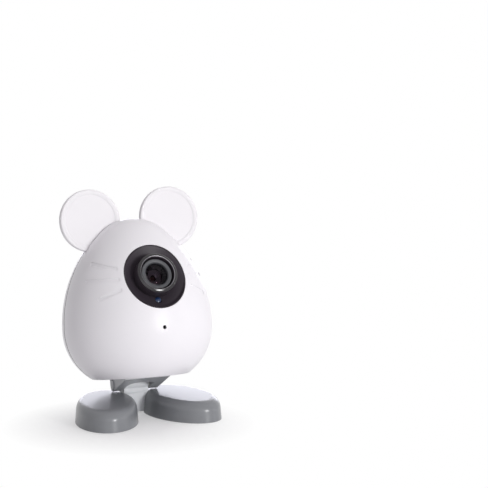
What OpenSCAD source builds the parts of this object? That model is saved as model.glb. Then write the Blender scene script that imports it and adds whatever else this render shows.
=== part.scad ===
// Pet camera: an egg-shaped head with round ears, tilting on a small stand with two oval feet.
// Millimetres, +Z up, the lens looks towards -Y. The origin is on the floor under the middle of the camera.

/* [Head shell] */
// Diameter of the head at its widest line
head_d = 78; // [76:0.5:80]
// Radius of the long curve from the widest line up to the crown
side_r = 67.6; // [64:0.2:72]
// Radius of the round crown
crown_r = 24.5; // [23:0.1:26]
// Radius of the curve from the widest line down to the flat bottom
belly_r = 30.6; // [29:0.1:32]
// Height of the widest line above the flat bottom
widest_h = 25.6; // [24.5:0.1:26.5]
// Rounding between the belly and the flat bottom
rim_round = 1.6; // [1:0.1:2.2]
// Thickness of the moulded shell
wall = 2; // [1.7:0.1:2.3]
// Distance of the seam between front and rear shell behind the head's axis
seam_y = 2.6; // [2:0.1:3.5]
// Length of the lip that reaches across the seam
lip_l = 1.6; // [1.2:0.1:2]
// Width of the shadow line along the seam
seam_line_w = 0.8; // [0.4:0.1:1]
// Depth of the shadow line along the seam
seam_line_d = 0.4; // [0.2:0.1:0.5]
// Depth of the whisker grooves
groove_depth = 0.35; // [0.2:0.05:0.5]
// Width of the whisker grooves
groove_w = 2; // [1.6:0.1:2.4]
// Diameter of the microphone hole
mic_hole_d = 2; // [1.6:0.1:2.4]
// Height of the microphone hole above the head's bottom
mic_h = 25; // [23:0.5:27]

/* [Ears] */
// Radius of an ear disc
ear_r = 16.2; // [15:0.1:17]
// Thickness of an ear disc
ear_t = 3.2; // [2.8:0.1:3.6]
// Distance of an ear's centre from the middle plane
ear_x = 21.9; // [21:0.1:23]
// Height of an ear's centre above the head's bottom
ear_h = 82.1; // [81:0.1:83]
// Width of the raised rim of an ear
ear_rim = 2; // [1.5:0.1:3]
// Depth of the dished face inside the rim
ear_dish = 0.6; // [0.3:0.1:0.8]
// Width of the tab that holds an ear in the seam
ear_tab_w = 9; // [7:0.5:10]

/* [Window and lens] */
// Radius of the black window
window_r = 16.3; // [15.8:0.1:16.8]
// Height of the window's centre above the head's bottom
window_h = 50.8; // [49:0.1:52]
// Height of the lens axis above the head's bottom where it passes the window
lens_h = 51; // [50:0.1:52]
// Depth of the lens's zero plane behind the head's surface
window_set = 3.7; // [3.3:0.1:4]
// Angle by which the lens looks up
lens_tilt = 19.3; // [17:0.1:21]
// Depth of the dish at the lens's collar
dish_depth = 2.9; // [2.4:0.1:3.2]
// Rise of the dish per millimetre outwards
dish_slope = 0.41; // [0.36:0.01:0.46]
// Radius of the lens barrel's front flange
lens_r = 7.85; // [7.6:0.05:8]
// Height of the lens barrel's front above the window's rim
lens_proud = 3; // [2.4:0.1:3.4]
// Height of the collar's rim above the lens barrel's front
collar_proud = 2.6; // [2:0.1:3]
// Radius of the front glass
glass_r = 5.8; // [5.4:0.1:6]
// Radius of the lens thread
thread_r = 6; // [5.8:0.1:6.2]
// Travel of the infrared filter
filter_travel = 6.8; // [6:0.1:7]

/* [Inside] */
// Height of the charging socket above the head's bottom
usb_h = 9.5; // [9:0.1:10.5]
// Length of the charging socket
usb_l = 8; // [7:0.5:9]
// Width of the opening for the charging plug
plug_w = 11.6; // [11:0.1:12.5]
// Height of the opening for the charging plug
plug_t = 7.6; // [7:0.1:8.2]
// Width of the main board
board_w = 33; // [31:0.5:34]
// Height of the main board
board_l = 31; // [29:0.5:32]
// Thickness of the boards
board_t = 1.6; // [1.2:0.1:2]
// Radius of the reset button
reset_r = 2.2; // [1.8:0.1:2.6]
// Travel of the reset button
reset_travel = 0.6; // [0.4:0.1:0.8]
// Height of the speaker's centre above the head's bottom
speaker_h = 48; // [46:0.5:50]
// Radius of the speaker
speaker_r = 14; // [13:0.1:14.4]
// Diameter of the holes in the speaker grille
grille_d = 1.8; // [1.4:0.1:2]
// Pitch of the holes in the speaker grille
grille_pitch = 3.2; // [2.9:0.1:3.4]

/* [Hinge] */
// Angle by which the head leans back at rest
rest_tilt = 9.7; // [5:0.1:12]
// Distance of the hinge axis behind the head's axis
hinge_back = 10; // [9.5:0.1:10.5]
// Distance of the hinge axis below the head's bottom
hinge_drop = 3.9; // [3.8:0.05:4.2]
// Height of the hinge axis above the floor
hinge_h = 15.65; // [15.4:0.05:16.2]
// Radius of the cheeks' round ends
cheek_r = 3.4; // [3.3:0.05:3.45]
// Width of the hinge bracket
bracket_w = 24.7; // [24:0.1:26]
// Reach of the bracket in front of the head's axis
bracket_front = 10.2; // [9:0.1:11]
// Width of the slot between the cheeks
slot_w = 14.5; // [14:0.1:15]
// Radius of the hinge pin
pin_r = 1.8; // [1.6:0.05:2]

/* [Stand] */
// Length of a foot
foot_l = 52.6; // [51:0.2:54]
// Width of a foot
foot_w = 32.4; // [31.6:0.2:33]
// Height of a foot at its middle
foot_h = 11.5; // [11.1:0.1:11.6]
// Angle by which the toes turn out
toe_out = 16.8; // [15:0.2:19]
// Distance of a foot's centre from the middle plane
foot_x = 20.8; // [20.6:0.1:21.4]
// Distance of the feet's centres in front of the hinge axis
foot_front = 14.4; // [13.8:0.1:15.2]
// Rounding of a foot's top edge
foot_round = 5.5; // [4.8:0.1:5.8]
// Draft of a foot's side wall from the floor to its top edge
foot_draft = 0.7; // [0.4:0.1:1]
// Angle by which a foot's top falls towards the toe
foot_fall = 1.8; // [1.2:0.1:2]
// Thickness of a foot's shell
foot_wall = 2; // [1.6:0.1:2.2]
// Thickness of the rubber pads
pad_t = 0.9; // [0.7:0.1:1.2]
// Radius of the rubber pads
pad_r = 4; // [3:0.1:4.5]
// Depth of the column from front to back
column_t = 7.5; // [7:0.1:8]

/* [Hidden] */
$fn = 64;

white = "#f4f5f6";
black = "#141416";
dark_grey = "#3a3b3e";
foot_grey = "#8f9095";
neck_grey = "#b9bbbd";
board_green = "#1f5b3a";
steel = "#b4b6b8";
big = 200;

// Clearances: pieces that slide or turn, pieces that are pushed together, and screws in their holes
run_fit = 0.06;
push_fit = 0.1;
loose_fit = 0.3;
screw_r = 1.25;
screw_head_r = 2.3;
screw_head_t = 1.5;

// Head outline: arcs that meet with a common tangent, offset inwards by d
head_r0 = head_d / 2;
crown_z = widest_h + sqrt(pow(side_r - crown_r, 2) - pow(side_r - head_r0, 2));
function side_x(z, d) = head_r0 - side_r + sqrt(pow(side_r - d, 2) - pow(z - widest_h, 2));
function belly_x(z, d) = head_r0 - belly_r + sqrt(pow(belly_r - d, 2) - pow(widest_h - z, 2));
function head_x(z, d) = z > widest_h ? side_x(z, d) : belly_x(z, d);
// How far behind the axis the surface lies at height z, x to the side
function head_y(z, x, d) = sqrt(pow(head_x(z, d), 2) - x * x);

// Window: its centre sits behind the surface, and the optical parts stack inwards from it
window_y = -head_x(lens_h, 0) + window_set;
bezel_r = window_r - push_fit;
shroud_r = 9.4;
shroud_bore = 8.75;
shroud_round = 0.3;
dish_t = 1.2;
dish_lip = 0.5;
floor_r = shroud_r + 0.35;
flange_r = window_r + 2.1;
flange_h = -4.6;
flange_t = 1.4;
led_board_top = -dish_depth - dish_t - 1.6;
led_t = 1.2;
led_board_t = 1;
led_r = 11.6;
led_w = 2.4;
led_lens_r = 0.9;
led_board_r = led_r + 1.5;
led_count = 6;
status_r = 1.5;
status_at = -12.3;
barrel_step = -6;
barrel_back = -17.6;
holder_top = -8.6;
holder_w = 16;
holder_l = 15.4;
holder_foot_w = 24;
holder_foot_t = 2;
holder_round = 2;
housing_top = -18;
housing_w = 27.4;
housing_l = 16;
housing_wall = 1.3;
roof_t = 1.3;
slider_t = 1.7;
slider_w = 15;
slider_l = 9.6;
slider_gap = 0.3;
pane_w = 6;
pane_t = 0.6;
cover_t = 1;
slider_top = housing_top - roof_t - slider_gap;
cover_top = slider_top - slider_t - slider_gap;
sensor_t = 1.2;
sensor_top = cover_top - cover_t - loose_fit;
sensor_board_top = sensor_top - sensor_t;
sensor_board_t = 1.2;
post_x = 16.9;
post_r = 2;
sensor_board_w = 2 * (post_x + post_r + 0.6);
sensor_board_l = 19;

// Speaker: seated behind the grille on the surface's own normal
speaker_y = head_x(speaker_h, 0);
speaker_tilt = asin((speaker_h - widest_h) / side_r);
seat_h = -wall - 3;
gasket_t = 0.8;
flange_top = seat_h - gasket_t;
speaker_flange_t = 1.2;
basket_t = 3.4;
magnet_t = 4;
magnet_r = 8;

// Main board: as far in as the charging socket is long
usb_mouth_y = head_x(usb_h, wall) - 2.4;
board_back_y = usb_mouth_y - usb_l;
board_front_y = board_back_y - board_t;
board_bottom = 5;
usb_w = 7.6;
usb_t = 3;
usb_wall = 0.4;
post_at = [[-12.5, 9], [12.5, 9], [-12.5, 31], [12.5, 31]];
board_post_r = 2.4;
reset_x = 9;
reset_h = 19.5;
switch_w = 6;
switch_t = 3.6;
plunger_t = 0.8;
reset_collar_t = 1;
card_w = 14;
card_l = 15;
card_t = 1.9;
card_slot_w = 12.4;
card_slot_t = 2.2;
chip_w = 12;
chip_t = 1.4;
chip_h = 28;
spreader_w = 18;
spreader_l = 13;
spreader_t = 1.2;
fin_pitch = 2.6;
fin_t = 1;
fin_h = 2.4;
wifi_x = -3;
wifi_h = 23;
wifi_w = 13;
wifi_l = 12;
wifi_t = 0.8;
can_t = 2.2;
can_inset = 1;
antenna_w = 20;
antenna_l = 7;
antenna_t = 0.8;
trace_pitch = 3.6;

// Screws that close the shell, in deep wells from the back
well_at = [[-23, 16], [23, 16]];
well_r = 3.2;
well_floor_y = seam_y + 6.4;
boss_r = 3;

// Hinge and head placing: the head leans back about the hinge axis
rear_reach = (head_r0 - side_r) * cos(rest_tilt) + widest_h * sin(rest_tilt) + side_r;
front_reach = (head_r0 - belly_r) * cos(rest_tilt) - widest_h * sin(rest_tilt) + belly_r;
hinge_y = (front_reach - rear_reach) / 2 + hinge_back * cos(rest_tilt) - hinge_drop * sin(rest_tilt);
barrel_r = cheek_r - 0.2;
barrel_w = slot_w - 1.1;
washer_t = (slot_w - barrel_w) / 2 - 2 * run_fit;
cap_r = 2.9;
cap_t = 1.4;
cap_proud = 0.3;
pin_l = bracket_w - 2 * (cap_t - cap_proud) - 2 * run_fit;
ramp_top = 0.9;
clamp_t = 2.4;
clamp_w = 27;
clamp_l = 15;
clamp_y = 2;
clamp_rib_w = 6;
bracket_screw_x = 9.8;
bracket_screw_at = [
    [-bracket_screw_x, -1.5], [bracket_screw_x, -1.5], [-bracket_screw_x, 5.4], [bracket_screw_x, 5.4]
];

// Stand: the column stands between the heels and reaches into both feet
column_front = -3.1;
column_w = 14;
column_top = hinge_h - barrel_r - 0.15;
column_chamfer = 1.5;
notch_fit = 0.15;
arm_l = 10.5;
arm_t = 2.6;
base_t = 1.6;
arm_bottom = pad_t + base_t + push_fit;
arm_top = arm_bottom + arm_t;
foot_crown_r = 1500;
foot_lift = 0.2;
foot_cavity_h = 7;
toe_screw_u = 19.6;
weight_u = 3.5;
weight_l = 24;
weight_w = 16;
weight_t = 3;
pad_at = [[-9, -4], [10, 6.5], [10, -6.5]];

// Places the children in the leaning head: origin on the axis at the head's flat bottom
module in_head() {
    translate([0, hinge_y, hinge_h])
        rotate([-rest_tilt, 0, 0])
            translate([0, -hinge_back, hinge_drop])
                children();
}

// Local frame of the lens: +Z looks out of the window, +Y is up along its face
module on_lens_axis() {
    translate([0, window_y, lens_h])
        rotate([90 - lens_tilt, 0, 0])
            children();
}

// Local frame of the speaker: +Z looks out at the back
module on_speaker_axis() {
    translate([0, speaker_y, speaker_h])
        rotate([speaker_tilt - 90, 0, 0])
            children();
}

// A cylinder from one depth to another along +Y
module along_y(x, z, r, from, to) {
    translate([x, from, z])
        rotate([-90, 0, 0])
            cylinder(r = r, h = to - from);
}

// A cylinder along X, centred on the middle plane
module along_x(y, z, r, w) {
    translate([-w / 2, y, z])
        rotate([0, 90, 0])
            cylinder(r = r, h = w);
}

// A plate with round corners, centred in X and Y, standing on z = 0
module round_plate(w, l, t, r) {
    linear_extrude(t) {
        square([w - 2 * r, l], center = true);
        square([w, l - 2 * r], center = true);
        for (x = [-1, 1], y = [-1, 1])
            translate([x * (w / 2 - r), y * (l / 2 - r)])
                circle(r);
    }
}

// A ring of revolution
module ring(r_out, r_in, from, to) {
    difference() {
        translate([0, 0, from])
            cylinder(r = r_out, h = to - from);
        translate([0, 0, from - 1])
            cylinder(r = r_in, h = to - from + 2);
    }
}

// A pan-head screw: the head stands on z = 0 and the shank goes down
module screw(r, l, head_r, head_t) {
    translate([0, 0, -l])
        cylinder(r = r, h = l);
    difference() {
        cylinder(r = head_r, h = head_t);
        for (a = [0, 90])
            rotate([0, 0, a])
                translate([-head_r * 0.65, -head_r * 0.14, head_t * 0.45])
                    cube([head_r * 1.3, head_r * 0.28, head_t]);
    }
}

// Half outline of the head, offset inwards by d, with a bottom rounding of f
module head_outline(d, f) {
    join_z = widest_h + (side_r - d) * (crown_z - widest_h) / (side_r - crown_r);
    rim_x = head_r0 - belly_r + sqrt(pow(belly_r - d - f, 2) - pow(widest_h - d - f, 2));
    rim_z = widest_h - (belly_r - d) * (widest_h - d - f) / (belly_r - d - f);
    intersection() {
        translate([head_r0 - side_r, widest_h])
            circle(side_r - d);
        union() {
            translate([0, crown_z])
                circle(crown_r - d);
            square([big, join_z]);
        }
        union() {
            translate([head_r0 - belly_r, widest_h])
                circle(belly_r - d);
            translate([0, widest_h])
                square([big, big]);
            translate([0, d])
                square([head_r0 - belly_r, widest_h]);
        }
        union() {
            translate([rim_x, d + f])
                circle(f);
            translate([0, rim_z])
                square([big, big]);
            translate([0, d])
                square([rim_x, big]);
        }
    }
}

// The head as a solid, offset inwards by d
module head_solid(d) {
    rotate([0, 0, 25])
        rotate_extrude($fn = 120)
            head_outline(d, max(rim_round - d, 0.5));
}

module front_of(y) {
    translate([-big / 2, y - big, -big / 2])
        cube(big);
}

module behind(y) {
    translate([-big / 2, y, -big / 2])
        cube(big);
}

// Tab of an ear, seen along Y from the ear's centre towards the crown's centre, grown by fit
module ear_tab(fit) {
    reach = norm([ear_x, ear_h - crown_z]) - crown_r;
    inner = reach + wall + 3.2;
    bar = reach + wall + loose_fit;
    translate([ear_x, 0, ear_h])
        rotate([0, 90 + atan2(ear_h - crown_z, -ear_x), 0])
            rotate([90, 0, 0])
                translate([0, 0, -seam_y])
                    linear_extrude(ear_t - ear_dish - 0.4 + fit) {
                        translate([reach - 3, -ear_tab_w / 2 - fit])
                            square([inner - reach + 3 + fit, ear_tab_w + 2 * fit]);
                        translate([bar - fit, -ear_tab_w / 2 - 2 - fit])
                            square([inner - bar + 2 * fit, ear_tab_w + 4 + 2 * fit]);
                    }
}

// A whisker: a shallow groove with round ends between two points of the face, [side, height]
module whisker(a, b) {
    from = [a[0], -head_y(a[1], a[0], 0), a[1]];
    to = [b[0], -head_y(b[1], b[0], 0), b[1]];
    run = to - from;
    span = norm(run) - groove_w;
    intersection() {
        translate((from + to) / 2)
            rotate([0, 0, atan2(run[1], run[0])])
                rotate([90, 0, 0])
                    rotate([0, 0, atan2(run[2], norm([run[0], run[1]]))])
                        translate([0, 0, -6])
                            linear_extrude(12) {
                                square([span, groove_w], center = true);
                                for (s = [-1, 1])
                                    translate([s * span / 2, 0])
                                        circle(groove_w / 2);
                            }
        difference() {
            head_solid(-1);
            head_solid(groove_depth);
        }
    }
}

// Upper, middle and lower whisker, from the cheek towards the window
whiskers = [[[27.4, 59.4], [18.3, 55.4]], [[31.3, 50.5], [18.3, 50.2]], [[28.9, 40.7], [18.3, 45.2]]];

module front_shell() {
    color(white) in_head() difference() {
        union() {
            difference() {
                union() {
                    intersection() {
                        head_solid(0);
                        front_of(seam_y);
                    }
                    intersection() {
                        head_solid(wall * 0.55);
                        front_of(seam_y + lip_l);
                    }
                }
                head_solid(wall);
            }
            intersection() {
                union() {
                    for (w = well_at)
                        along_y(w[0], w[1], boss_r, -head_r0, seam_y);
                    along_y(0, mic_h, 4.4, -head_r0, -head_r0 + wall + 4);
                }
                head_solid(wall * 0.5);
            }
        }
        along_y(0, window_h, window_r, -head_d, 0);
        along_y(0, mic_h, mic_hole_d / 2, -head_r0 - 1, 0);
        along_y(0, mic_h, 3.3 + push_fit, -head_r0 + wall + 0.3, 0);
        for (w = well_at)
            along_y(w[0], w[1], screw_r - 0.2, seam_y - 12, seam_y + 1);
        for (s = [0, 1])
            mirror([s, 0, 0])
                ear_tab(push_fit);
        for (p = bracket_screw_at)
            translate([p[0], p[1], -1])
                cylinder(r = screw_r + push_fit, h = wall + 2);
        for (w = whiskers, s = [-1, 1])
            whisker([s * w[0][0], w[0][1]], [s * w[1][0], w[1][1]]);
    }
}

// Holes of the speaker grille: rings of holes round one in the middle
module grille_holes() {
    for (k = [0:3])
        for (i = [0:max(6 * k - 1, 0)])
            rotate([0, 0, i * 60 / max(k, 1)])
                translate([k * grille_pitch, 0, -10])
                    cylinder(r = grille_d / 2, h = 16);
}

module rear_shell() {
    color(white) in_head() difference() {
        union() {
            difference() {
                union() {
                    intersection() {
                        head_solid(0);
                        behind(seam_y + seam_line_w);
                    }
                    intersection() {
                        head_solid(seam_line_d);
                        behind(seam_y);
                    }
                }
                head_solid(wall);
                intersection() {
                    head_solid(wall * 0.55 - push_fit);
                    front_of(seam_y + lip_l + push_fit);
                }
            }
            intersection() {
                union() {
                    for (w = well_at) {
                        along_y(w[0], w[1], well_r + 1.2, well_floor_y - 2, head_r0);
                        along_y(w[0], w[1], boss_r, seam_y, well_floor_y);
                    }
                    for (p = post_at)
                        along_y(p[0], p[1], board_post_r, board_back_y, head_r0);
                    on_speaker_axis()
                        ring(speaker_r + 1.5, speaker_r - 2.6, seat_h, 1);
                    on_speaker_axis()
                        ring(speaker_r + 1.5, speaker_r + push_fit, flange_top - speaker_flange_t, 1);
                }
                head_solid(wall * 0.5);
            }
        }
        for (w = well_at) {
            along_y(w[0], w[1], well_r, well_floor_y, head_r0);
            along_y(w[0], w[1], screw_r + push_fit, seam_y - 1, head_r0);
        }
        for (p = post_at)
            along_y(p[0], p[1], screw_r - 0.3, board_back_y - 1, board_back_y + 6);
        on_speaker_axis()
            grille_holes();
        translate([0, usb_mouth_y, usb_h])
            rotate([-90, 0, 0])
                round_plate(plug_w, plug_t, 12, 2);
        along_y(reset_x, reset_h, reset_r + run_fit, board_back_y, head_r0 + 1);
        translate([0, board_front_y - card_t / 2, -1])
            round_plate(card_slot_w, card_slot_t, wall + 2, 1);
        for (p = bracket_screw_at)
            translate([p[0], p[1], -1])
                cylinder(r = screw_r + push_fit, h = wall + 2);
    }
}

// An ear: a disc with a raised rim, cut to the head, with a tab that the two shells hold
module ear() {
    difference() {
        translate([ear_x, seam_y, ear_h])
            rotate([90, 0, 0])
                rotate_extrude()
                    difference() {
                        union() {
                            square([ear_r - 0.8, ear_t]);
                            translate([0, 0.8])
                                square([ear_r, ear_t - 1.6]);
                            for (h = [0.8, ear_t - 0.8])
                                translate([ear_r - 0.8, h])
                                    circle(0.8);
                        }
                        polygon([
                            [-1, ear_t - ear_dish], [ear_r - ear_rim - 1, ear_t - ear_dish],
                            [ear_r - ear_rim, ear_t], [ear_r - ear_rim, ear_t + 1], [-1, ear_t + 1]
                        ]);
                    }
        translate([0, seam_y + 1, 0])
            rotate([90, 0, 0])
                linear_extrude(ear_t + 2)
                    head_outline(-push_fit, rim_round);
    }
    ear_tab(0);
}

module left_ear() {
    color(white) in_head() mirror([1, 0, 0]) ear();
}

module right_ear() {
    color(white) in_head() ear();
}

// Space on one side of the dish's cone about the lens axis, shifted along it by t
module dish_side(t, far) {
    rotate_extrude()
        polygon([
            [0, t - dish_depth], [floor_r, t - dish_depth],
            [head_r0, t - dish_depth + (head_r0 - floor_r) * dish_slope], [head_r0, far], [0, far]
        ]);
}

// Dished window: round when seen from the front, as the shell's hole is, with the dish about the lens axis
module lens_bezel() {
    color(black) in_head() difference() {
        union() {
            intersection() {
                along_y(0, window_h, bezel_r, -head_d, 0);
                head_solid(0.35);
                on_lens_axis()
                    translate([0, 0, flange_h - flange_t])
                        cylinder(r = head_r0, h = head_d);
            }
            intersection() {
                union() {
                    on_lens_axis()
                        for (s = [-1, 1])
                            translate([s * post_x, 0, sensor_board_top])
                                cylinder(r = post_r, h = flange_h - flange_t / 2 - sensor_board_top);
                    intersection() {
                        along_y(0, window_h, flange_r, -head_d, 0);
                        on_lens_axis()
                            translate([0, 0, flange_h - flange_t])
                                cylinder(r = head_r0, h = flange_t);
                    }
                }
                head_solid(wall + push_fit);
            }
        }
        intersection() {
            along_y(0, window_h, bezel_r - dish_lip, -head_d, head_d);
            on_lens_axis()
                dish_side(0, head_d);
        }
        intersection() {
            along_y(0, window_h, bezel_r - 1.4, -head_d, head_d);
            on_lens_axis()
                dish_side(-dish_t, -head_d);
        }
        on_lens_axis() {
            cylinder(r = shroud_r + push_fit, h = head_d, center = true);
            for (s = [-1, 1])
                translate([s * post_x, 0, sensor_board_top - 1])
                    cylinder(r = screw_r - 0.35, h = 8);
            translate([0, status_at, -10])
                cylinder(r = status_r + push_fit, h = 20);
        }
    }
}

// Opaque collar round the lens, with a foot that carries the ring of light emitters
module lens_shroud() {
    top = lens_proud + collar_proud;
    foot = led_board_top - led_board_t;
    color(black) in_head() on_lens_axis()
        rotate_extrude()
            union() {
                translate([shroud_bore, foot - 0.8])
                    square([shroud_r - shroud_bore, top - shroud_round - foot + 0.8]);
                translate([shroud_r - shroud_round, top - shroud_round])
                    circle(shroud_round);
                translate([shroud_bore, top - 0.8])
                    square([shroud_r - shroud_round - shroud_bore, 0.8]);
                translate([shroud_bore, foot - 0.8])
                    square([shroud_r + 0.9 - shroud_bore, 0.8]);
            }
}

module lens_barrel() {
    color(dark_grey) in_head() on_lens_axis() difference() {
        union() {
            translate([0, 0, barrel_step])
                cylinder(r = lens_r, h = lens_proud - barrel_step);
            translate([0, 0, barrel_back])
                cylinder(r = thread_r, h = barrel_step - barrel_back + 1);
        }
        translate([0, 0, lens_proud - 0.5])
            cylinder(r1 = glass_r + push_fit, r2 = lens_r - 0.6, h = 0.51);
        translate([0, 0, -1.6])
            cylinder(r = glass_r + push_fit, h = 10);
        translate([0, 0, barrel_back - 1])
            cylinder(r = 3.4, h = 30);
        translate([0, 0, barrel_back - 1])
            cylinder(r = 4.4 + push_fit, h = 5);
    }
}

// Front element: a dome with a flat back, seated in the barrel's front pocket
module front_lens() {
    dome = 14;
    edge = lens_proud - 1;
    color("#20242c") in_head() on_lens_axis()
        rotate_extrude()
            union() {
                intersection() {
                    translate([0, edge - sqrt(dome * dome - glass_r * glass_r)])
                        circle(dome);
                    translate([0, edge])
                        square([glass_r, dome]);
                }
                translate([0, -1.6])
                    square([glass_r, edge + 1.6]);
            }
}

module rear_lens() {
    color("#20242c") in_head() on_lens_axis()
        translate([0, 0, barrel_back + 1.6])
            rotate_extrude()
                intersection() {
                    translate([0, -6])
                        circle(8.4);
                    square([4.4, 3]);
                }
}

// Threaded mount that holds the barrel over the filter housing
module lens_holder() {
    color(black) in_head() on_lens_axis() difference() {
        union() {
            translate([0, 0, housing_top])
                round_plate(holder_w, holder_l, holder_top - housing_top, holder_round);
            translate([0, 0, housing_top])
                round_plate(holder_foot_w, holder_l, holder_foot_t, holder_round);
        }
        translate([0, 0, housing_top - 1])
            cylinder(r = thread_r + run_fit, h = 20);
    }
}

module filter_housing() {
    color(black) in_head() on_lens_axis() difference() {
        translate([0, 0, sensor_board_top])
            round_plate(housing_w, housing_l, housing_top - sensor_board_top, 1);
        translate([0, 0, sensor_board_top - 1])
            round_plate(
                housing_w - 2 * housing_wall, housing_l - 2 * housing_wall,
                housing_top - roof_t - sensor_board_top + 1, 0.6
            );
        cylinder(r = 3.6, h = 100, center = true);
    }
}

module filter_cover() {
    color(dark_grey) in_head() on_lens_axis()
        translate([0, 0, cover_top - cover_t])
            difference() {
                round_plate(
                    housing_w - 2 * housing_wall - 2 * push_fit,
                    housing_l - 2 * housing_wall - 2 * push_fit, cover_t, 0.5
                );
                translate([0, 0, -1])
                    cylinder(r = 3.6, h = cover_t + 2);
            }
}

// Coil that pushes the slider, fixed on the housing's long side
module filter_coil() {
    color("#a8642a") in_head() on_lens_axis()
        translate([0, housing_l / 2 + 2.3, (housing_top + sensor_board_top) / 2])
            rotate([0, 90, 0])
                difference() {
                    union() {
                        cylinder(r = 1.9, h = 8, center = true);
                        for (s = [-1, 1])
                            translate([0, 0, s * 4])
                                cylinder(r = 2.3, h = 1, center = true);
                    }
                    cylinder(r = 0.8, h = 20, center = true);
                }
}

// Frame with two windows, which slides across the lens axis
module filter_slider() {
    color("#2b2b2e") in_head() on_lens_axis()
        translate([filter_travel / 2, 0, slider_top - slider_t])
            difference() {
                round_plate(slider_w, slider_l, slider_t, 0.8);
                for (s = [-1, 1])
                    translate([s * filter_travel / 2, 0, 0]) {
                        translate([0, 0, 0.5])
                            round_plate(pane_w + 2 * push_fit, pane_w + 2 * push_fit, slider_t, 0.3);
                        translate([0, 0, -1])
                            round_plate(pane_w - 0.8, pane_w - 0.8, 4, 0.3);
                    }
            }
}

module pane(s) {
    in_head() on_lens_axis()
        translate([filter_travel / 2 * (1 + s), 0, slider_top - slider_t + 0.5])
            round_plate(pane_w, pane_w, pane_t, 0.3);
}

module infrared_filter() {
    color("#7fb0c8") pane(-1);
}

module clear_filter() {
    color("#d8e4e8") pane(1);
}

module image_sensor() {
    color("#30343a") in_head() on_lens_axis()
        translate([0, 0, sensor_top - sensor_t]) {
            round_plate(9, 9, sensor_t - 0.3, 0.2);
            round_plate(6, 5, sensor_t, 0.2);
        }
}

module sensor_board() {
    color(board_green) in_head() on_lens_axis()
        translate([0, 0, sensor_board_top - sensor_board_t])
            difference() {
                round_plate(sensor_board_w, sensor_board_l, sensor_board_t, 2);
                for (s = [-1, 1])
                    translate([s * post_x, 0, -1])
                        cylinder(r = screw_r - 0.25, h = 4);
            }
}

module sensor_screws() {
    color(steel) in_head() on_lens_axis()
        for (s = [-1, 1])
            translate([s * post_x, 0, sensor_board_top - sensor_board_t])
                rotate([180, 0, 0])
                    screw(screw_r - 0.4, 6, 1.9, 1.2);
}

module led_board() {
    color("#17181a") in_head() on_lens_axis()
        ring(led_board_r, shroud_r + push_fit, led_board_top - led_board_t, led_board_top);
}

module infrared_leds() {
    color("#cfd2d6") in_head() on_lens_axis()
        for (i = [0:led_count - 1])
            rotate([0, 0, (i + 0.5) * 360 / led_count])
                translate([0, led_r, led_board_top]) {
                    translate([-led_w / 2, -led_w / 2, 0])
                        cube([led_w, led_w, led_t * 0.6]);
                    cylinder(r = led_lens_r, h = led_t);
                }
}

// Light pipe of the status light, flush with the dish
module status_light() {
    top = -dish_depth + (-status_at - floor_r) * dish_slope;
    color("#27407a") in_head() on_lens_axis()
        translate([0, status_at, 0])
            rotate_extrude()
                union() {
                    translate([0, led_board_top])
                        square([status_r, top - led_board_top]);
                    intersection() {
                        translate([0, top - 3])
                            circle(norm([3, status_r]));
                        translate([0, top - 0.2])
                            square([status_r, 3]);
                    }
                }
}

module microphone() {
    color(steel) in_head()
        along_y(0, mic_h, 2.6, -head_r0 + wall + 2.4, -head_r0 + wall + 4.2);
}

module microphone_boot() {
    front = -head_r0 + wall + 0.4;
    color("#222224") in_head() difference() {
        along_y(0, mic_h, 3.3, front, front + 4.4);
        along_y(0, mic_h, 2.6 + run_fit, front + 2, front + 6);
        along_y(0, mic_h, mic_hole_d / 2, front - 1, front + 3);
    }
}

module main_board() {
    color(board_green) in_head() difference() {
        translate([0, board_back_y, board_bottom + board_l / 2])
            rotate([90, 0, 0])
                round_plate(board_w, board_l, board_t, 3);
        for (p = post_at)
            along_y(p[0], p[1], screw_r, board_front_y - 1, board_back_y + 1);
    }
}

module board_screws() {
    color(steel) in_head()
        for (p = post_at)
            translate([p[0], board_front_y, p[1]])
                rotate([90, 0, 0])
                    screw(screw_r - 0.35, 6, screw_head_r, screw_head_t);
}

module processor() {
    color("#26272a") in_head()
        translate([0, board_front_y, chip_h])
            rotate([90, 0, 0])
                round_plate(chip_w, chip_w, chip_t, 0.3);
}

// Finned plate that spreads the processor's heat
module heat_spreader() {
    color("#9a9da0") in_head()
        translate([0, board_front_y - chip_t, chip_h])
            rotate([90, 0, 0])
                union() {
                    round_plate(spreader_w, spreader_l, spreader_t, 0.5);
                    for (i = [-3:3])
                        translate([i * fin_pitch - fin_t / 2, -spreader_l / 2, spreader_t - 0.2])
                            cube([fin_t, spreader_l, fin_h + 0.2]);
                }
}

module wifi_module() {
    color(steel) in_head()
        translate([wifi_x, board_back_y, wifi_h])
            rotate([-90, 0, 0]) {
                round_plate(wifi_w, wifi_l, wifi_t, 0.3);
                round_plate(wifi_w - 2 * can_inset, wifi_l - 2 * can_inset, can_t, 0.5);
            }
}

// Aerial strip that stands on the main board's upper edge
module antenna() {
    color("#c9a24a") in_head()
        translate([0, board_back_y - (board_t - antenna_t) / 2, board_bottom + board_l + antenna_l / 2])
            rotate([90, 0, 0])
                union() {
                    round_plate(antenna_w, antenna_l, antenna_t, 0.5);
                    for (i = [-2:2])
                        translate([(i - 0.17) * trace_pitch, -antenna_l * 0.37, antenna_t - 0.1])
                            cube([trace_pitch / 3, antenna_l * 0.74, 0.25]);
                }
}

// Charging socket: a pressed shell with a tongue, mouth to the rear
module usb_socket() {
    color(steel) in_head()
        translate([0, board_back_y, usb_h])
            rotate([-90, 0, 0])
                union() {
                    difference() {
                        round_plate(usb_w, usb_t, usb_l, 0.8);
                        translate([0, 0, 1.2])
                            round_plate(usb_w - 2 * usb_wall, usb_t - 2 * usb_wall, usb_l, 0.5);
                    }
                    translate([-1.9, -0.3, 1])
                        cube([3.8, 0.6, usb_l - 2.2]);
                }
}

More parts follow.
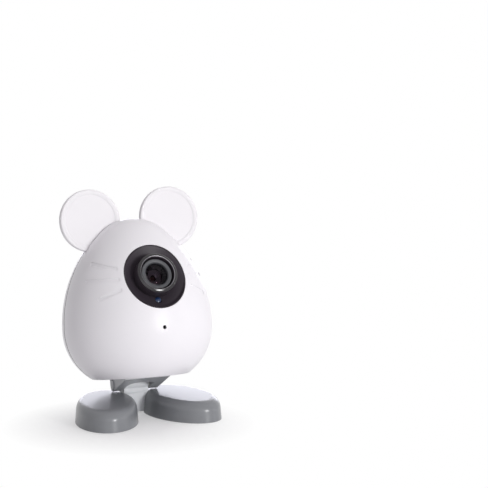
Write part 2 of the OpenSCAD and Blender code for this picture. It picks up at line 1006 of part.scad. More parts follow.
// Memory card socket on the board's front, mouth down
module card_socket() {
    color(steel) in_head()
        translate([-card_w / 2, board_front_y - card_t, board_bottom])
            difference() {
                cube([card_w, card_t, card_l]);
                translate([1, 0.5, -1])
                    cube([card_w - 2, card_t - 0.9, card_l - 1]);
            }
}

module reset_switch() {
    color("#2d2e31") in_head() {
        translate([reset_x, board_back_y, reset_h])
            rotate([-90, 0, 0])
                round_plate(switch_w, switch_w, switch_t, 0.5);
        along_y(reset_x, reset_h, 1.6, board_back_y + switch_t - 0.5, board_back_y + switch_t + plunger_t);
    }
}

// Push button: its stem reaches the switch, and a collar keeps it inside
module reset_button() {
    stem = board_back_y + switch_t + plunger_t + reset_travel + run_fit;
    face = head_y(reset_h, reset_x, 0) - 0.4;
    collar = head_y(reset_h, reset_x + reset_r + 1, wall) - 0.6;
    color("#8f9296") in_head() {
        along_y(reset_x, reset_h, reset_r - 0.5, stem, collar);
        along_y(reset_x, reset_h, reset_r + 0.9, collar - reset_collar_t, collar);
        along_y(reset_x, reset_h, reset_r, collar - 0.5, face - 0.4);
        along_y(reset_x, reset_h, reset_r - 0.4, face - 1, face);
    }
}

module speaker_frame() {
    low = flange_top - speaker_flange_t;
    color("#3c3e42") in_head() on_speaker_axis()
        rotate_extrude()
            polygon([
                [speaker_r - 2.4, flange_top], [speaker_r, flange_top], [speaker_r, low],
                [speaker_r - 1.4, low], [magnet_r, low - basket_t], [0, low - basket_t],
                [0, low - basket_t + 0.8], [magnet_r - 0.8, low - basket_t + 0.8],
                [speaker_r - 2.4, low + 0.4]
            ]);
}

// Paper cone with a rolled edge, glued to the frame's rim
module speaker_cone() {
    rim = speaker_r - 2.4 - push_fit;
    low = flange_top - speaker_flange_t;
    color("#1d1d1f") in_head() on_speaker_axis()
        rotate_extrude()
            polygon([
                [0, low - 1.2], [3, low - 1.8], [rim - 2, low + 0.6], [rim, low + 0.6],
                [rim, low + 1], [rim - 2.2, low + 1], [3, low - 1.3], [0, low - 0.7]
            ]);
}

module speaker_magnet() {
    low = flange_top - speaker_flange_t - basket_t;
    color("#6f7276") in_head() on_speaker_axis()
        ring(magnet_r, 1.2, low - magnet_t, low);
}

module speaker_gasket() {
    color("#2a2a2c") in_head() on_speaker_axis()
        ring(speaker_r - push_fit, speaker_r - 2.5, flange_top, seat_h);
}

// Flat cable between the two boards, a smooth curve in the middle plane
function bow(p, t) = p[0] * pow(1 - t, 3) + 3 * p[1] * t * pow(1 - t, 2)
    + 3 * p[2] * t * t * (1 - t) + p[3] * pow(t, 3);

module sensor_ribbon() {
    back = sensor_board_top - sensor_board_t;
    y0 = window_y - back * cos(lens_tilt) - 6 * sin(lens_tilt) + 0.12;
    z0 = window_h + back * sin(lens_tilt) - 6 * cos(lens_tilt);
    z1 = chip_h + chip_w / 2 + 1.4;
    path = [[y0, z0], [y0 + 9, z0 - 3], [board_front_y - 12, z1], [board_front_y, z1]];
    steps = 14;
    upper = [for (i = [0:steps]) bow(path, i / steps) + [0, 0.16]];
    lower = [for (i = [steps:-1:0]) bow(path, i / steps) - [0, 0.16]];
    color("#d9c9a0") in_head()
        translate([-4, 0, 0])
            rotate([90, 0, 90])
                linear_extrude(8)
                    polygon(concat(upper, lower));
}

// Clevis under the head: two cheeks with round ends, joined by a bridge under a sloping face
module tilt_bracket() {
    p = [-bracket_front, -ramp_top];
    h = [hinge_back, -hinge_drop];
    flat_r = cheek_r - 0.05;
    away = norm(h - p);
    lean = atan2(h[1] - p[1], h[0] - p[0]) - asin(flat_r / away);
    touch = p + sqrt(away * away - flat_r * flat_r) * [cos(lean), sin(lean)];
    slot_front = -2.9;
    slot_round = 5;
    color("#7c7d82") in_head() difference() {
        translate([-bracket_w / 2, 0, 0])
            rotate([90, 0, 90])
                linear_extrude(bracket_w)
                    union() {
                        polygon([[p[0], 0], p, touch, h, [h[0] + flat_r, h[1]], [h[0] + flat_r, 0]]);
                        translate(h)
                            circle(cheek_r);
                    }
        translate([0, slot_front + big / 2, -big / 4])
            round_plate(slot_w, big, big / 2, slot_round);
        along_x(h[0], h[1], pin_r + 0.02, big);
        for (s = [0, 1])
            mirror([s, 0, 0])
                translate([bracket_w / 2 - cap_t + cap_proud, h[0], h[1]])
                    rotate([0, 90, 0])
                        cylinder(r = cap_r + 0.03, h = 10);
        for (s = bracket_screw_at)
            translate([s[0], s[1], -3.2])
                cylinder(r = screw_r + 0.02, h = 5);
    }
}

module hinge_pin() {
    color(steel) in_head()
        along_x(hinge_back, -hinge_drop, pin_r, pin_l);
}

module hinge_caps() {
    color("#6a6b70") in_head()
        for (s = [0, 1])
            mirror([s, 0, 0])
                translate([bracket_w / 2 - cap_t + cap_proud, hinge_back, -hinge_drop])
                    rotate([0, 90, 0])
                        rotate_extrude()
                            difference() {
                                square([cap_r, cap_t]);
                                translate([cap_r, cap_t])
                                    circle(0.35);
                            }
}

// Plate inside the head that the bracket's screws draw against the shell's floor
module clamp_plate() {
    color(steel) in_head()
        translate([0, clamp_y, wall])
            difference() {
                union() {
                    round_plate(clamp_w, clamp_l, clamp_t * 0.6, clamp_rib_w / 2);
                    for (s = [-1, 1])
                        translate([s * bracket_screw_x, 0, 0])
                            round_plate(clamp_rib_w, clamp_l - 2, clamp_t, clamp_rib_w / 3);
                }
                for (p = bracket_screw_at)
                    translate([p[0], p[1] - clamp_y, -1])
                        cylinder(r = screw_r + push_fit, h = 8);
            }
}

module bracket_screws() {
    color(steel) in_head()
        for (p = bracket_screw_at)
            translate([p[0], p[1], wall + clamp_t])
                screw(screw_r, wall + clamp_t + 3, screw_head_r, screw_head_t);
}

module shell_screws() {
    color(steel) in_head()
        for (w = well_at)
            translate([w[0], well_floor_y, w[1]])
                rotate([-90, 0, 0])
                    screw(screw_r - 0.25, well_floor_y - seam_y + 9, screw_head_r + 0.4, screw_head_t + 0.3);
}

// Stand, in coordinates from the hinge axis backwards (y) and from the floor up (z)
module at_hinge() {
    translate([0, hinge_y, 0])
        children();
}

// Outline of the column seen from above, grown by fit
module column_block(fit) {
    translate([-column_w / 2 - fit, column_front - fit, 0])
        cube([column_w + 2 * fit, column_t + 2 * fit, column_top - column_chamfer]);
}

module stand_neck() {
    color(neck_grey) at_hinge() difference() {
        union() {
            intersection() {
                translate([0, 0, pad_t])
                    column_block(0);
                translate([-big / 2, -big / 2, 0])
                    cube([big, big, column_top - column_chamfer]);
            }
            translate([-column_w / 2, 0, 0])
                rotate([90, 0, 90])
                    linear_extrude(column_w)
                        polygon([
                            [column_front, column_top - column_chamfer - 0.1],
                            [column_front, column_top - column_chamfer],
                            [column_front + column_chamfer, column_top],
                            [column_front + column_t - column_chamfer, column_top],
                            [column_front + column_t, column_top - column_chamfer],
                            [column_front + column_t, column_top - column_chamfer - 0.1]
                        ]);
            along_x(0, hinge_h, barrel_r, barrel_w);
            translate([-barrel_w / 2, -2.4, column_top - 0.5])
                cube([barrel_w, 4.8, hinge_h - column_top]);
            translate([-column_w / 2 - arm_l, column_front + 1, arm_bottom])
                cube([column_w + 2 * arm_l, column_t - 2, arm_t]);
            for (s = [-1, 1])
                translate([s * (column_w / 2 + arm_l), column_front + column_t / 2, arm_bottom])
                    cylinder(r = column_t / 2 - 1, h = arm_t);
        }
        along_x(0, hinge_h, pin_r + run_fit, big);
        translate([-column_w / 2 + 2, column_front + 1.8, -1])
            cube([column_w - 4, column_t - 3.6, column_top - 3.5]);
        for (s = [-1, 1])
            translate([s * (column_w / 2 + arm_l - 2), column_front + column_t / 2, -1])
                cylinder(r = screw_r - 0.2, h = 20);
    }
}

// Frame of a foot: +X points to the toe, right foot on +X side
module on_foot(side) {
    at_hinge()
        mirror([side < 0 ? 1 : 0, 0, 0])
            translate([foot_x, -foot_front, 0])
                rotate([0, 0, toe_out - 90])
                    children();
}

// Oval dome of a foot: a crowned, drafted turned shape, drawn out to an oval, its top falling to the toe
module foot_dome(a, b, h, r) {
    rise = h - pow(a - r, 2) / (2 * foot_crown_r) - r;
    lean = atan(foot_draft / rise);
    edge = a - r * cos(lean) - (rise + r * sin(lean)) * tan(lean);
    multmatrix([[1, 0, 0, 0], [0, b / a, 0, 0], [-tan(foot_fall), 0, 1, 0], [0, 0, 0, 1]])
        rotate_extrude($fn = 96)
            union() {
                intersection() {
                    translate([0, h - foot_crown_r])
                        circle(foot_crown_r, $fn = 720);
                    translate([0, -2])
                        square([edge, big]);
                }
                translate([edge, rise])
                    circle(r);
                polygon([
                    [0, -2], [a + 2 * tan(lean), -2],
                    [edge + (r - 0.02) * cos(lean), rise + (r - 0.02) * sin(lean)], [0, rise]
                ]);
            }
}

module foot_shell(side) {
    a = foot_l / 2;
    b = foot_w / 2;
    difference() {
        on_foot(side)
            difference() {
                foot_dome(a, b, foot_h, foot_round);
                translate([-big / 2, -big / 2, foot_lift - big])
                    cube(big);
                difference() {
                    foot_dome(a - foot_wall, b - foot_wall, foot_cavity_h, 1.5);
                    translate([toe_screw_u, 0, arm_bottom])
                        cylinder(r = 2.4, h = 20);
                }
                translate([toe_screw_u, 0, -1])
                    cylinder(r = screw_r - 0.2, h = 7);
            }
        at_hinge() {
            translate([-column_w / 2 - notch_fit, column_front - notch_fit, -1])
                cube([column_w + 2 * notch_fit, column_t + 2 * notch_fit, 40]);
            translate([-column_w / 2 - arm_l, column_front + 1 - notch_fit, -1])
                cube([column_w + 2 * arm_l, column_t - 2 + 2 * notch_fit, arm_top + notch_fit + 1]);
        }
    }
}

module left_foot() {
    color(foot_grey) foot_shell(-1);
}

module right_foot() {
    color(foot_grey) foot_shell(1);
}

// Plate that closes a foot from below, notched round the column
module foot_base(side) {
    a = foot_l / 2 - foot_wall - push_fit;
    b = foot_w / 2 - foot_wall - push_fit;
    difference() {
        on_foot(side)
            difference() {
                multmatrix([[1, 0, 0, 0], [0, b / a, 0, 0], [0, 0, 1, pad_t], [0, 0, 0, 1]])
                    cylinder(r = a - foot_draft / 2, h = base_t, $fn = 96);
                translate([toe_screw_u, 0, -1])
                    cylinder(r = screw_r, h = 10);
                translate([toe_screw_u, 0, pad_t - 1])
                    cylinder(r = screw_head_r + push_fit, h = 1.6);
            }
        at_hinge() {
            translate([-column_w / 2 - notch_fit, column_front - notch_fit, -1])
                cube([column_w + 2 * notch_fit, column_t + 2 * notch_fit, 40]);
            translate([side * (column_w / 2 + arm_l - 2), column_front + column_t / 2, -1]) {
                cylinder(r = screw_r, h = 10);
                cylinder(r = screw_head_r + push_fit, h = pad_t + 1.6);
            }
        }
    }
}

module left_foot_base() {
    color("#6d6e73") foot_base(-1);
}

module right_foot_base() {
    color("#6d6e73") foot_base(1);
}

// Steel slug that keeps the camera from tipping back
module foot_weight(side) {
    color(steel) on_foot(side)
        translate([weight_u, 0, pad_t + base_t + push_fit])
            round_plate(weight_l, weight_w, weight_t, 6);
}

module left_foot_weight() {
    foot_weight(-1);
}

module right_foot_weight() {
    foot_weight(1);
}

module foot_pads() {
    color("#2e2f31")
        for (side = [-1, 1])
            on_foot(side)
                for (p = pad_at)
                    translate([p[0], p[1], 0])
                        cylinder(r = pad_r, h = pad_t);
}

module foot_screws() {
    color(steel)
        for (side = [-1, 1]) {
            on_foot(side)
                translate([toe_screw_u, 0, pad_t + 0.6])
                    rotate([180, 0, 0])
                        screw(screw_r - 0.25, 4.4, screw_head_r, 0.55);
            at_hinge()
                translate([side * (column_w / 2 + arm_l - 2), column_front + column_t / 2, pad_t + 0.6])
                    rotate([180, 0, 0])
                        screw(screw_r - 0.25, 4, screw_head_r, 0.55);
        }
}

module friction_washers() {
    color("#d0d0cc") at_hinge()
        for (s = [-1, 1])
            translate([s * (barrel_w / 2 + run_fit + washer_t / 2), 0, hinge_h])
                rotate([0, 90, 0])
                    translate([0, 0, -washer_t / 2])
                        ring(barrel_r - 0.1, pin_r + run_fit, 0, washer_t);
}

stand_neck();
left_foot();
right_foot();
left_foot_base();
right_foot_base();
left_foot_weight();
right_foot_weight();
foot_pads();
foot_screws();
friction_washers();
front_shell();
rear_shell();
left_ear();
right_ear();
lens_bezel();
lens_shroud();
lens_barrel();
front_lens();
rear_lens();
lens_holder();
filter_housing();
filter_cover();
filter_coil();
filter_slider();
infrared_filter();
clear_filter();
image_sensor();
sensor_board();
sensor_screws();
led_board();
infrared_leds();
status_light();
microphone();
microphone_boot();
main_board();
board_screws();
processor();
heat_spreader();
wifi_module();
antenna();
usb_socket();
card_socket();
reset_switch();
reset_button();
speaker_frame();
speaker_cone();
speaker_magnet();
speaker_gasket();
sensor_ribbon();
tilt_bracket();
clamp_plate();
bracket_screws();
shell_screws();
hinge_pin();
hinge_caps();
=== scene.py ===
import math
import bpy
from mathutils import Matrix, Vector


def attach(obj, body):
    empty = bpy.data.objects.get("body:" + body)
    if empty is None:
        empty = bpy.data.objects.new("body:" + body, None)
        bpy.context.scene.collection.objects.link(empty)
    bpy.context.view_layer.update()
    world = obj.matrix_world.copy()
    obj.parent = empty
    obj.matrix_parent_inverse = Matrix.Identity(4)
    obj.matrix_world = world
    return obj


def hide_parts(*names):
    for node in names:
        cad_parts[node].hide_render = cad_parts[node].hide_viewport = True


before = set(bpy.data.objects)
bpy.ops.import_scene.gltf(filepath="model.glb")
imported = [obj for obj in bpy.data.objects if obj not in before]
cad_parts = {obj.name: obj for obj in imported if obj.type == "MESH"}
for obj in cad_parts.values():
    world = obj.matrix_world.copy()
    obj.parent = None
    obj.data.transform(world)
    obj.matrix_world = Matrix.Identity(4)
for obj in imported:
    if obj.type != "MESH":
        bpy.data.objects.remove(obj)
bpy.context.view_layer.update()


# Feet: two oval shells, injection-moulded in satin grey ABS.
# Each is closed from below by a plate and hooked round the neck's column at the heel.
def linear(hex_colour):
    """An sRGB hex colour as linear red, green, blue and alpha."""
    parts = [int(hex_colour[i:i + 2], 16) / 255 for i in (1, 3, 5)]
    return [p / 12.92 if p <= 0.04045 else ((p + 0.055) / 1.055) ** 2.4 for p in parts] + [1.0]


def add_node(tree, kind, settings=None, links=None):
    """One shader node; settings go to its inputs or, failing that, its properties."""
    node = tree.nodes.new(kind)
    for key, value in (settings or {}).items():
        if key in node.inputs:
            node.inputs[key].default_value = value
        else:
            setattr(node, key, value)
    for key, (other, output) in (links or {}).items():
        tree.links.new(other.outputs[output], node.inputs[key])
    return node


def per_metre(size_mm):
    """Texture scale for a pattern whose marks are this many millimetres apart."""
    return 1000.0 / size_mm


melt_mm = 35  # the colour drifts over this distance
mix_from, mix_to, mix_out = 6, 7, 2  # the colour sockets of a Mix node


# The grain that a tool leaves is under 0.1 mm wide and too fine to show,
# so it is drawn as coarse as grain_mm says.
def coloured_finish(name, colour, shade, roughness, spread, grain_mm, depth_mm, ior=1.52):
    """A plastic, rubber or lacquer: a slow drift of colour, and a fine grain left by the tool."""
    material = bpy.data.materials.new(name)
    material.use_nodes = True
    tree = material.node_tree
    surface = tree.nodes["Principled BSDF"]
    surface.inputs["IOR"].default_value = ior
    place = add_node(tree, "ShaderNodeTexCoord")
    drift = add_node(tree, "ShaderNodeTexNoise", {"Scale": per_metre(melt_mm), "Detail": 2.0},
                     {"Vector": (place, "Object")})
    tint = add_node(tree, "ShaderNodeMix", {"data_type": "RGBA"}, {"Factor": (drift, "Fac")})
    tint.inputs[mix_from].default_value = linear(colour)
    tint.inputs[mix_to].default_value = linear(shade)
    tree.links.new(tint.outputs[mix_out], surface.inputs["Base Color"])
    grain = add_node(tree, "ShaderNodeTexNoise", {"Scale": per_metre(grain_mm), "Detail": 3.0},
                     {"Vector": (place, "Object")})
    gloss = add_node(tree, "ShaderNodeMapRange",
                     {"To Min": roughness - spread, "To Max": roughness + spread},
                     {"Value": (grain, "Fac")})
    tree.links.new(gloss.outputs["Result"], surface.inputs["Roughness"])
    relief = add_node(tree, "ShaderNodeBump",
                      {"Strength": 1.0, "Distance": depth_mm / 1000},
                      {"Height": (grain, "Fac")})
    tree.links.new(relief.outputs["Normal"], surface.inputs["Normal"])
    return material


weld = 2e-6  # points closer than this, in metres, are one point


def finished_copy(node, body, material, smooth_deg=32):
    """The CAD node's own surface, welded and smooth shaded, in its finish."""
    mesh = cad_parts[node].data.copy()
    piece = bpy.data.objects.new(node + "_finish", mesh)
    bpy.context.scene.collection.objects.link(piece)
    bpy.ops.object.select_all(action="DESELECT")
    piece.select_set(True)
    bpy.context.view_layer.objects.active = piece
    bpy.ops.object.mode_set(mode="EDIT")
    bpy.ops.mesh.select_all(action="SELECT")
    bpy.ops.mesh.remove_doubles(threshold=weld)
    bpy.ops.object.mode_set(mode="OBJECT")
    bpy.ops.object.shade_smooth_by_angle(angle=math.radians(smooth_deg))
    even = piece.modifiers.new("Even shading", "WEIGHTED_NORMAL")
    even.mode = "FACE_AREA"
    even.weight = 100
    even.keep_sharp = True
    bpy.ops.object.modifier_apply(modifier=even.name)
    mesh = piece.data
    mesh.materials.clear()
    mesh.materials.append(material)
    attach(piece, body)
    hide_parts(node)
    return piece


def finish_node(names, material):
    """Gives CAD nodes that are shown as they are their finish."""
    for name in names:
        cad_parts[name].data.materials.clear()
        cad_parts[name].data.materials.append(material)


# Satin grey ABS: mid grey with soft highlights, and a bright sheen where the top is seen edge-on.
grey_abs = coloured_finish("Satin grey ABS", "#7f8185", "#7b7d81",
                           roughness=0.28, spread=0.012, grain_mm=0.6, depth_mm=0.0002)
for node in ("left_foot", "right_foot"):
    finished_copy(node, "stand", grey_abs)

# Foot bases: flat plates of the same ABS, let into the feet from below.
# Screws hold them, and the rubber pads are stuck on them.
# Spark-eroded ABS: a darker grey, dull with a fine grain.
grained_abs = coloured_finish("Grained dark grey ABS", "#6d6f73", "#68696d",
                              roughness=0.5, spread=0.06, grain_mm=0.35, depth_mm=0.02)
for node in ("left_foot_base", "right_foot_base"):
    finished_copy(node, "stand", grained_abs)

# Foot pads: discs of dark rubber, die-cut from sheet.
# They are stuck under the bases and keep the stand from sliding.
# Die-cut rubber: nearly black and without gloss, with a slightly open surface.
pad_rubber = coloured_finish("Die-cut rubber", "#2c2d2f", "#242527",
                             roughness=0.8, spread=0.08, grain_mm=0.25, depth_mm=0.03)
finished_copy("foot_pads", "stand", pad_rubber)


# Screws and weights: steel screws, and slugs sawn from steel bar that keep the stand from tipping.
# All of them are zinc-plated and go in from below.
mark_stretch, mark_spread = 0.1, 0.08  # how long the drawing marks are, and how much they change the gloss


# Drawing marks are hundredths of a millimetre apart and too fine to show,
# so they are drawn as coarse as mark_mm says.
def plated_metal(name, colour, roughness, mark_mm):
    """Bare or plated metal with faint drawing marks along X."""
    material = bpy.data.materials.new(name)
    material.use_nodes = True
    tree = material.node_tree
    surface = tree.nodes["Principled BSDF"]
    surface.inputs["Metallic"].default_value = 1.0
    surface.inputs["Base Color"].default_value = linear(colour)
    place = add_node(tree, "ShaderNodeTexCoord")
    turn = add_node(tree, "ShaderNodeMapping", {"Scale": (mark_stretch, 1.0, 1.0)},
                    {"Vector": (place, "Object")})
    marks = add_node(tree, "ShaderNodeTexNoise", {"Scale": per_metre(mark_mm), "Detail": 3.0},
                     {"Vector": (turn, "Vector")})
    gloss = add_node(tree, "ShaderNodeMapRange",
                     {"To Min": roughness - mark_spread, "To Max": roughness + mark_spread},
                     {"Value": (marks, "Fac")})
    tree.links.new(gloss.outputs["Result"], surface.inputs["Roughness"])
    return material


# Zinc plate: a bright, slightly cool silver with soft reflections.
zinc_steel = plated_metal("Zinc-plated steel", "#c3c5c8", roughness=0.3, mark_mm=0.2)
finish_node(("foot_screws", "left_foot_weight", "right_foot_weight"), zinc_steel)

# Neck: one moulding of ABS with the hinge barrel, the column and two arms.
# The arms lie inside the feet, which are hooked round the column.
# Satin light grey ABS: nearly white with a soft sheen, from a lightly blasted tool.
satin_abs = coloured_finish("Satin light grey ABS", "#e6e8eb", "#e2e4e7",
                            roughness=0.38, spread=0.05, grain_mm=0.4, depth_mm=0.008)
finished_copy("stand_neck", "stand", satin_abs)

# Friction washers: turned nylon rings between the neck's barrel and the bracket's cheeks.
# They hold the head at any tilt.
# Natural nylon: a warm, slightly waxy off-white.
nylon = coloured_finish("Natural nylon", "#d3d2cb", "#c9c8c0",
                        roughness=0.45, spread=0.05, grain_mm=0.4, depth_mm=0.01)
finished_copy("friction_washers", "stand", nylon)

# Hinge bracket, pin and caps: an ABS clevis on a steel pin behind two push-in caps.
# Screws and a clamp plate inside hold the bracket under the head.
# Satin grey bracket ABS: a lighter grey than the feet, with soft highlights.
bracket_abs = coloured_finish("Satin grey bracket ABS", "#b2b4b8", "#aeb0b4",
                              roughness=0.34, spread=0.04, grain_mm=0.6, depth_mm=0.002)
finished_copy("tilt_bracket", "head", bracket_abs)
finished_copy("hinge_caps", "head", bracket_abs)
finish_node(("hinge_pin", "clamp_plate", "bracket_screws", "shell_screws"), zinc_steel)

# Head shells: two moulded halves of white ABS, screwed together from behind, with a shadow line at the seam.
# The grooves of the whiskers are moulded in.
# The curve is three arcs turned about the head's own axis, which leans back from the hinge.
head_r, side_r, crown_r, belly_r, widest_h = 39.0, 67.6, 24.5, 30.6, 25.6  # in millimetres
crown_h = widest_h + math.sqrt((side_r - crown_r) ** 2 - (side_r - head_r) ** 2)
join_h = widest_h + side_r * (crown_h - widest_h) / (side_r - crown_r)
hinge, lean_deg, axis_foot = (0, 0.0046221, 0.01565), 9.7, (0, -0.010, 0.0039)  # places in metres
head_place = (Matrix.Translation(hinge) @ Matrix.Rotation(math.radians(-lean_deg), 4, "X")
              @ Matrix.Translation(axis_foot))
to_head = head_place.inverted()


def on_head_curve(point):
    """How far a point lies outside the head's curve, in millimetres, and the curve's direction there."""
    spot = to_head @ point * 1000
    reach = max(math.hypot(spot.x, spot.y), 1e-6)
    if spot.z > join_h:
        across, up, radius = 0.0, crown_h, crown_r
    elif spot.z > widest_h:
        across, up, radius = head_r - side_r, widest_h, side_r
    else:
        across, up, radius = head_r - belly_r, widest_h, belly_r
    arm = Vector((reach - across, spot.z - up))
    way = arm.normalized()
    out = Vector((way.x * spot.x / reach, way.x * spot.y / reach, way.y))
    return arm.length - radius, head_place.to_3x3() @ out


# How far a point of the skin may stand proud, in millimetres, and the cosine of how far its face may lean.
skin_proud, skin_lean = 0.03, 0.93


def smooth_like_mould(piece, depth):
    """Shades the skin, down to a depth in millimetres, with the true direction of the head's curve."""
    mesh = piece.data
    ways = [Vector(corner.vector) for corner in mesh.corner_normals]
    skin = [on_head_curve(point.co) for point in mesh.vertices]
    for face in mesh.polygons:
        if all(-depth < skin[v][0] < skin_proud and face.normal.dot(skin[v][1]) > skin_lean
               for v in face.vertices):
            for corner, v in zip(face.loop_indices, face.vertices):
                ways[corner] = skin[v][1]
    mesh.normals_split_custom_set(ways)


# Satin white ABS: a bright, faintly cool white with wide, soft-edged highlights.
white_abs = coloured_finish("Satin white ABS", "#f3f1f5", "#f0eef2",
                            roughness=0.32, spread=0.03, grain_mm=0.9, depth_mm=0.0008, ior=1.32)
plain_skin, skin_with_groove = 0.03, 0.45  # depths in millimetres
smooth_like_mould(finished_copy("front_shell", "head", white_abs), plain_skin)
rear = finished_copy("rear_shell", "head", white_abs)
smooth_like_mould(rear, skin_with_groove)
# Painted seam shadow: a dark grey put on the floor of the seam's groove, standing in for the shade of a deep,
# narrow gap; a fine dark line round the head.
painted_seam_shade = coloured_finish("Painted seam shadow", "#77757a", "#727075",
                            roughness=0.7, spread=0.05, grain_mm=0.5, depth_mm=0.002)
groove_end, groove_floor, groove_top = 3.42, -0.7, -0.2  # millimetres behind the axis and off the skin
rear.data.materials.append(painted_seam_shade)
# The faces on the floor of the seam's groove take the painted seam shadow.
for face in rear.data.polygons:
    depths = [on_head_curve(rear.data.vertices[v].co)[0] for v in face.vertices]
    in_groove = groove_floor < min(depths) < groove_top and max(depths) < skin_proud
    if in_groove and (to_head @ face.center).y * 1000 < groove_end:
        face.material_index = 1

# Ears: flat discs with a raised rim, moulded in the same white ABS.
# A tab on each one is held in the seam of the head.
# Matt white ABS: the same white without highlights, from a blasted tool.
matt_white = coloured_finish("Matt white ABS", "#efedf0", "#eceaed",
                             roughness=0.55, spread=0.04, grain_mm=0.7, depth_mm=0.001, ior=1.4)
for node in ("left_ear", "right_ear"):
    finished_copy(node, "head", matt_white, smooth_deg=24)

# Window: a dished bezel of black ABS, moulded in one piece.
# It is pressed into the front shell from inside and carries the lens and the status light.
# Satin black ABS: a warm black with a broad, weak sheen, from a lightly blasted tool.
warm_black = coloured_finish("Satin black ABS", "#39333a", "#352f36",
                             roughness=0.42, spread=0.04, grain_mm=0.9, depth_mm=0.0005, ior=1.3)
finished_copy("lens_bezel", "head", warm_black)

# Collar: an aluminium tube round the lens, turned and lacquered black, which keeps stray light off the glass.
# Its foot sits on the emitter board, and its lip slopes outwards.
lens_spot, lens_rise_deg = (0, -0.030347, 0.051), 19.3
lens_place = (head_place @ Matrix.Translation(lens_spot)
              @ Matrix.Rotation(math.radians(90 - lens_rise_deg), 4, "X"))


def settle(piece, place):
    """Puts a piece in its place for good and leaves its object at the origin."""
    piece.matrix_world = place
    bpy.ops.object.select_all(action="DESELECT")
    piece.select_set(True)
    bpy.context.view_layer.objects.active = piece
    bpy.ops.object.transform_apply(location=True, rotation=True, scale=True)


def pick_points(piece, wanted):
    """Selects, in edit mode, just the points that a test picks out."""
    bpy.ops.mesh.select_mode(type="VERT")
    bpy.ops.mesh.select_all(action="DESELECT")
    bpy.ops.object.mode_set(mode="OBJECT")
    for point in piece.data.vertices:
        point.select = wanted(point.co)
    bpy.ops.object.mode_set(mode="EDIT")


# Radii and heights of the turned profile, in metres from the lens's own axis and front.
lip_r, lip_at, lip_h = 0.0004, 0.00915, 0.0044
tube_r, brim_r, step_r, foot_r = 0.00875, 0.0105, 0.0094, 0.0103
step_top, step_low, foot_top, foot_low = -0.0031, -0.0037, -0.0067, -0.0075
brim = math.radians(22.5)
brim_start = (lip_at + lip_r * math.sin(brim), lip_h + lip_r * math.cos(brim))
outside = (brim_start, (0.00985, 0.00459), (0.0104, 0.0043), (brim_r, 0.00418), (brim_r, step_top),
           (step_r, step_low), (step_r, foot_top), (foot_r, foot_top), (foot_r, foot_low), (tube_r, foot_low))
inside = ((lip_at - lip_r, lip_h), (tube_r, foot_low))
bpy.ops.object.select_all(action="DESELECT")
bpy.ops.mesh.primitive_circle_add(vertices=32, radius=lip_r, location=(lip_at, 0, lip_h),
                                  rotation=(math.radians(90), 0, 0))
collar = bpy.context.object
collar.name = "lens_collar"
bpy.ops.object.transform_apply(location=True, rotation=True, scale=True)
bpy.ops.object.mode_set(mode="EDIT")
pick_points(collar, lambda co: co.z < lip_h - weld or co.x > brim_start[0] + weld)
bpy.ops.mesh.delete(type="VERT")
for route in (outside, inside):
    pick_points(collar, lambda co: math.hypot(co.x - route[0][0], co.z - route[0][1]) < weld)
    for here, there in zip(route, route[1:]):
        bpy.ops.mesh.extrude_vertices_move(
            TRANSFORM_OT_translate={"value": (there[0] - here[0], 0, there[1] - here[1])})
bpy.ops.mesh.select_all(action="SELECT")
bpy.ops.mesh.remove_doubles(threshold=weld)
bpy.ops.mesh.spin(steps=144, angle=math.tau, center=(0, 0, 0), axis=(0, 0, 1))
bpy.ops.mesh.select_all(action="SELECT")
bpy.ops.mesh.remove_doubles(threshold=weld)
bpy.ops.mesh.normals_make_consistent(inside=False)
bpy.ops.object.mode_set(mode="OBJECT")
bpy.ops.object.shade_smooth_by_angle(angle=math.radians(35))
settle(collar, lens_place)
collar.data.materials.append(warm_black)
# Bright-cut edge: the inner side of the lip is bare metal, a thin light arc round the lens.
bare_edge = plated_metal("Bright-cut aluminium edge", "#8f8c91", roughness=0.34, mark_mm=0.2)
collar.data.materials.append(bare_edge)
# Polished black lacquer: on the sloped lip it shows the front lamp as a small white spot.
polished_black = coloured_finish("Polished black lacquer", "#1e1a1f", "#1b171c",
                                 roughness=0.16, spread=0.02, grain_mm=0.9, depth_mm=0.0002)
collar.data.materials.append(polished_black)
polish_depth, cut_width = 0.0006, 0.0003  # in metres
to_lens = lens_place.inverted()
for face in collar.data.polygons:
    spot = to_lens @ face.center
    if spot.z > lip_h - polish_depth:
        face.material_index = 1 if math.hypot(spot.x, spot.y) < lip_at - lip_r + cut_width else 2
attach(collar, "head")
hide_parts("lens_shroud")

# Lens barrel: turned from aluminium and anodised, with a bead-blasted face.
# It screws into the holder behind the window.
# Black anodising: a dark grey face without gloss, paler than the black round it.
matt_black = coloured_finish("Bead-blasted anodised aluminium", "#4b4c50", "#47484c",
                             roughness=0.5, spread=0.05, grain_mm=0.3, depth_mm=0.006)
finished_copy("lens_barrel", "head", matt_black)


# Lens glasses: two ground and polished elements, cemented into the barrel.
# Both carry an anti-reflection coating.
polish_mm, polish_spread = 1.5, 0.02  # the polish varies over this distance, and by this much


def coated_glass(name, colour, roughness, tint):
    """Ground glass with a thin coating, which dims and tints what it reflects."""
    material = bpy.data.materials.new(name)
    material.use_nodes = True
    tree = material.node_tree
    surface = tree.nodes["Principled BSDF"]
    surface.inputs["Base Color"].default_value = linear(colour)
    surface.inputs["Transmission Weight"].default_value = 1.0
    surface.inputs["IOR"].default_value = 1.5
    surface.inputs["Specular Tint"].default_value = linear(tint)
    place = add_node(tree, "ShaderNodeTexCoord")
    polish = add_node(tree, "ShaderNodeTexNoise", {"Scale": per_metre(polish_mm)},
                      {"Vector": (place, "Object")})
    gloss = add_node(tree, "ShaderNodeMapRange",
                     {"To Min": roughness, "To Max": roughness + polish_spread}, {"Value": (polish, "Fac")})
    tree.links.new(gloss.outputs["Result"], surface.inputs["Roughness"])
    return material


